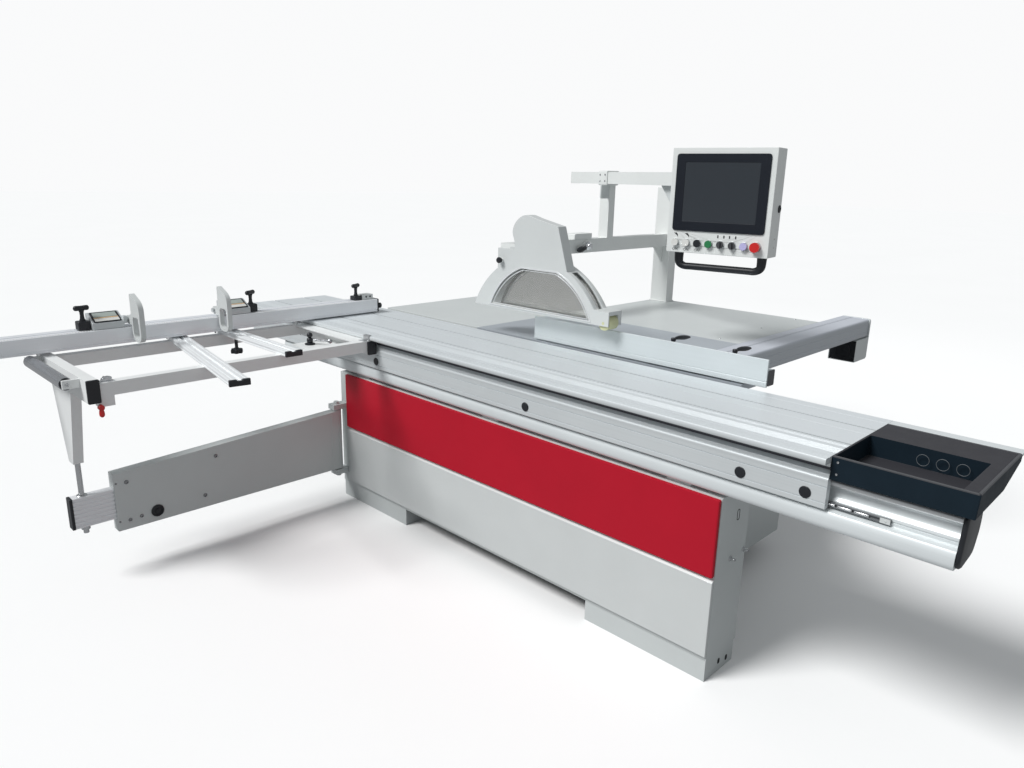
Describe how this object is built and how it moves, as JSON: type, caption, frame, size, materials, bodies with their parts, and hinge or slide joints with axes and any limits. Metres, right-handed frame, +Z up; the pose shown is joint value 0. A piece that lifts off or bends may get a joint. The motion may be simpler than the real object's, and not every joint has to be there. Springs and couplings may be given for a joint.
{
  "type": "sliding table saw",
  "caption": "Sliding table saw with long aluminium carriage, crosscut outrigger, mitre fence with flip stops, rip fence, tilting saw unit, overhead guard and control panel on a boom.",
  "frame": {"origin": "on the floor at the middle of the machine's overall area", "axes": "+X to the operator's right, across the cut; +Y along the cut, away from the operator; +Z up"},
  "size_m": [3.845, 3.55, 1.7],
  "materials": {
    "paint": "satin paint",
    "red_paint": "satin paint",
    "white_paint": "satin paint",
    "table_iron": "ground",
    "alu": "anodised",
    "steel": "ground",
    "rod_chrome": "polished",
    "black_plastic": "matt",
    "tray_black": "matt",
    "red_plastic": "gloss",
    "white_plastic": "gloss",
    "green_plastic": "gloss",
    "violet_plastic": "gloss",
    "grey_plastic": "matt",
    "roller_rubber": "matt",
    "window": "clear",
    "saw_grey": "paint",
    "saw_iron": "cast",
    "screen_black": "gloss"
  },
  "bodies": {
    "base": {"base_cabinet": "paint", "upper_panel": "red_paint", "lower_panel": "white_paint", "main_table": "table_iron", "rear_table": "paint", "right_table": "paint", "rail_beam": "alu", "rail_rods": "rod_chrome", "guide_beam": "alu", "beam_end": "white_paint", "guard_column": "paint", "guard_arm": "paint", "tilt_supports": "saw_grey"},
    "cage": {"roller_cage": "steel"},
    "carriage": {"carriage": "alu", "tool_tray": "tray_black"},
    "outrigger": {"outrigger_frame": "white_paint", "support_slats": "alu", "leg_rod": "rod_chrome"},
    "outrigger_roller": {"outrigger_roller": "rod_chrome"},
    "frame_lever": {"frame_lever": "red_plastic"},
    "clamp_lever": {"clamp_lever": "black_plastic"},
    "under_knob": {"under_knob": "black_plastic"},
    "fence": {"crosscut_fence": "alu"},
    "stop_left": {"stop_left": "alu"},
    "flap_left": {"flap_left": "white_paint"},
    "knob_left": {"knob_left": "black_plastic"},
    "stop_right": {"stop_right": "alu"},
    "flap_right": {"flap_right": "white_paint"},
    "knob_right": {"knob_right": "black_plastic"},
    "fence_knob": {"fence_knob": "black_plastic"},
    "swing_arm": {"swing_arm": "paint"},
    "arm_tube": {"arm_tube": "alu"},
    "rip_head": {"rip_head": "alu"},
    "rip_profile": {"rip_profile": "alu"},
    "rip_lever_a": {"rip_lever_a": "black_plastic"},
    "rip_lever_b": {"rip_lever_b": "black_plastic"},
    "tilt": {"tilt_frame": "saw_grey"},
    "carrier": {"saw_carrier": "saw_iron", "main_motor": "saw_grey"},
    "arbor": {"arbor": "steel", "saw_blade": "steel"},
    "motor_pulley": {"motor_pulley": "steel"},
    "scoring": {"scoring_blade": "steel"},
    "hood": {"guard_hood": "white_paint", "hood_window": "window"},
    "hood_roller": {"hood_roller": "roller_rubber"},
    "hood_lever": {"hood_lever": "black_plastic"},
    "boom": {"panel_boom": "paint"},
    "panel": {"panel_box": "paint", "panel_screen": "screen_black", "panel_handle": "black_plastic"},
    "button_main": {"button_main": "white_plastic"},
    "button_scoring": {"button_scoring": "white_plastic"},
    "button_off": {"button_off": "black_plastic"},
    "button_next": {"button_next": "green_plastic"},
    "selector_a": {"selector_a": "grey_plastic"},
    "selector_b": {"selector_b": "grey_plastic"},
    "button_reset": {"button_reset": "violet_plastic"},
    "emergency_stop": {"emergency_stop": "red_plastic"}
  },
  "joints": [
    {"name": "carriage_slide", "type": "slide", "parent": "base", "child": "carriage", "axis": [0, 1, 0], "range_m": [-1.5, 1.28]},
    {"name": "cage_slide", "type": "slide", "parent": "base", "child": "cage", "axis": [0, 1, 0], "range_m": [-0.76, 0.65]},
    {"name": "outrigger_slide", "type": "slide", "parent": "carriage", "child": "outrigger", "axis": [0, 1, 0], "range_m": [-0.6, 0.4]},
    {"name": "outrigger_roller_spin", "type": "hinge", "parent": "outrigger", "child": "outrigger_roller", "pos_m": [-1.6075, 0.905, 0.847], "axis": [0, 1, 0], "continuous": true},
    {"name": "frame_lever_turn", "type": "hinge", "parent": "outrigger", "child": "frame_lever", "pos_m": [-1.5315, 0.604, 0.768], "axis": [0, 1, 0], "range_deg": [-60, 60]},
    {"name": "clamp_lever_turn", "type": "hinge", "parent": "outrigger", "child": "clamp_lever", "pos_m": [-0.5475, 0.895, 0.82], "axis": [0, 0, 1], "range_deg": [-45, 45]},
    {"name": "under_knob_turn", "type": "hinge", "parent": "outrigger", "child": "under_knob", "pos_m": [-0.81102, 1.079, 0.784], "axis": [0, 0, 1], "continuous": true},
    {"name": "fence_swing", "type": "hinge", "parent": "outrigger", "child": "fence", "pos_m": [-0.46824, 1.155, 0.89], "axis": [0, 0, 1], "range_deg": [0, 45]},
    {"name": "stop_left_slide", "type": "slide", "parent": "fence", "child": "stop_left", "axis": [1, 0, 0], "range_m": [-0.4, 0.2]},
    {"name": "flap_left_flip", "type": "hinge", "parent": "stop_left", "child": "flap_left", "pos_m": [-1.2305, 1.131, 0.968], "axis": [1, 0, 0], "range_deg": [-95, 0]},
    {"name": "knob_left_turn", "type": "hinge", "parent": "stop_left", "child": "knob_left", "pos_m": [-1.403, 1.15, 1], "axis": [0, 0, 1], "range_deg": [-180, 180]},
    {"name": "stop_right_slide", "type": "slide", "parent": "fence", "child": "stop_right", "axis": [1, 0, 0], "range_m": [-0.1, 0.45]},
    {"name": "flap_right_flip", "type": "hinge", "parent": "stop_right", "child": "flap_right", "pos_m": [-0.8675, 1.131, 0.968], "axis": [1, 0, 0], "range_deg": [-95, 0]},
    {"name": "knob_right_turn", "type": "hinge", "parent": "stop_right", "child": "knob_right", "pos_m": [-0.695, 1.15, 1], "axis": [0, 0, 1], "range_deg": [-180, 180]},
    {"name": "fence_knob_turn", "type": "hinge", "parent": "fence", "child": "fence_knob", "pos_m": [-0.1255, 1.145, 1], "axis": [0, 0, 1], "range_deg": [-180, 180]},
    {"name": "arm_swing", "type": "hinge", "parent": "base", "child": "swing_arm", "pos_m": [-0.4075, 0.92, 0.31], "axis": [0, 0, 1], "range_deg": [-47, 55]},
    {"name": "arm_tube_extend", "type": "slide", "parent": "swing_arm", "child": "arm_tube", "axis": [-1, 0, 0], "range_m": [0, 0.74]},
    {"name": "rip_head_slide", "type": "slide", "parent": "base", "child": "rip_head", "axis": [1, 0, 0], "range_m": [0, 1.25]},
    {"name": "rip_profile_slide", "type": "slide", "parent": "rip_head", "child": "rip_profile", "axis": [0, 1, 0], "range_m": [-0.25, 0.12]},
    {"name": "rip_lever_a_turn", "type": "hinge", "parent": "rip_head", "child": "rip_lever_a", "pos_m": [0.2419, -0.525, 0.92], "axis": [0, 0, 1], "range_deg": [-45, 45]},
    {"name": "rip_lever_b_turn", "type": "hinge", "parent": "rip_head", "child": "rip_lever_b", "pos_m": [0.2419, -0.795, 0.92], "axis": [0, 0, 1], "range_deg": [-45, 45]},
    {"name": "saw_tilt", "type": "hinge", "parent": "base", "child": "tilt", "pos_m": [0.0925, 0.015, 0.87], "axis": [0, 1, 0], "range_deg": [0, 45]},
    {"name": "saw_lift", "type": "slide", "parent": "tilt", "child": "carrier", "axis": [0, 0, 1], "range_m": [0, 0.078]},
    {"name": "arbor_spin", "type": "hinge", "parent": "carrier", "child": "arbor", "pos_m": [0.0925, 0.015, 0.692], "axis": [1, 0, 0], "continuous": true},
    {"name": "motor_spin", "type": "hinge", "parent": "carrier", "child": "motor_pulley", "pos_m": [0.2045, 0.015, 0.492], "axis": [1, 0, 0], "continuous": true},
    {"name": "scoring_spin", "type": "hinge", "parent": "tilt", "child": "scoring", "pos_m": [0.0925, -0.23, 0.8085], "axis": [1, 0, 0], "continuous": true},
    {"name": "hood_lift", "type": "hinge", "parent": "base", "child": "hood", "pos_m": [0.0925, 0.258, 1.212], "axis": [-1, 0, 0], "range_deg": [0, 25]},
    {"name": "hood_roller_spin", "type": "hinge", "parent": "hood", "child": "hood_roller", "pos_m": [0.0825, -0.319, 1.012], "axis": [1, 0, 0], "continuous": true},
    {"name": "hood_lever_turn", "type": "hinge", "parent": "base", "child": "hood_lever", "pos_m": [0.7825, 0.36, 1.232], "axis": [0, 1, 0], "range_deg": [-60, 60]},
    {"name": "boom_swing", "type": "hinge", "parent": "base", "child": "boom", "pos_m": [0.9775, 0.41, 1.57], "axis": [0, 0, 1], "range_deg": [-15, 25]},
    {"name": "panel_swivel", "type": "hinge", "parent": "boom", "child": "panel", "pos_m": [0.68818, -0.38925, 1.574], "axis": [0, 0, 1], "range_deg": [-20, 45]},
    {"name": "button_main_press", "type": "slide", "parent": "panel", "child": "button_main", "axis": [0.9885, 0.1513, 0], "range_m": [0, 0.003], "stiffness_N_per_m": 900},
    {"name": "button_scoring_press", "type": "slide", "parent": "panel", "child": "button_scoring", "axis": [0.9885, 0.1513, 0], "range_m": [0, 0.003], "stiffness_N_per_m": 900},
    {"name": "button_off_press", "type": "slide", "parent": "panel", "child": "button_off", "axis": [0.9885, 0.1513, 0], "range_m": [0, 0.003], "stiffness_N_per_m": 900},
    {"name": "button_next_press", "type": "slide", "parent": "panel", "child": "button_next", "axis": [0.9885, 0.1513, 0], "range_m": [0, 0.003], "stiffness_N_per_m": 900},
    {"name": "selector_a_turn", "type": "hinge", "parent": "panel", "child": "selector_a", "pos_m": [0.55548, -0.51375, 1.312], "axis": [0.9885, 0.1513, 0], "range_deg": [-45, 45]},
    {"name": "selector_b_turn", "type": "hinge", "parent": "panel", "child": "selector_b", "pos_m": [0.56305, -0.56317, 1.312], "axis": [0.9885, 0.1513, 0], "range_deg": [-45, 45]},
    {"name": "button_reset_press", "type": "slide", "parent": "panel", "child": "button_reset", "axis": [0.9885, 0.1513, 0], "range_m": [0, 0.003], "stiffness_N_per_m": 900},
    {"name": "emergency_stop_press", "type": "slide", "parent": "panel", "child": "emergency_stop", "axis": [0.9885, 0.1513, 0], "range_m": [0, 0.004], "stiffness_N_per_m": 900}
  ],
  "couplings": [
    {"joint": "cage_slide", "follows": "carriage_slide", "ratio": 0.5},
    {"joint": "arm_swing", "follows": "carriage_slide", "rad_per_m": -0.628},
    {"joint": "motor_spin", "follows": "arbor_spin", "ratio": 0.81818}
  ]
}
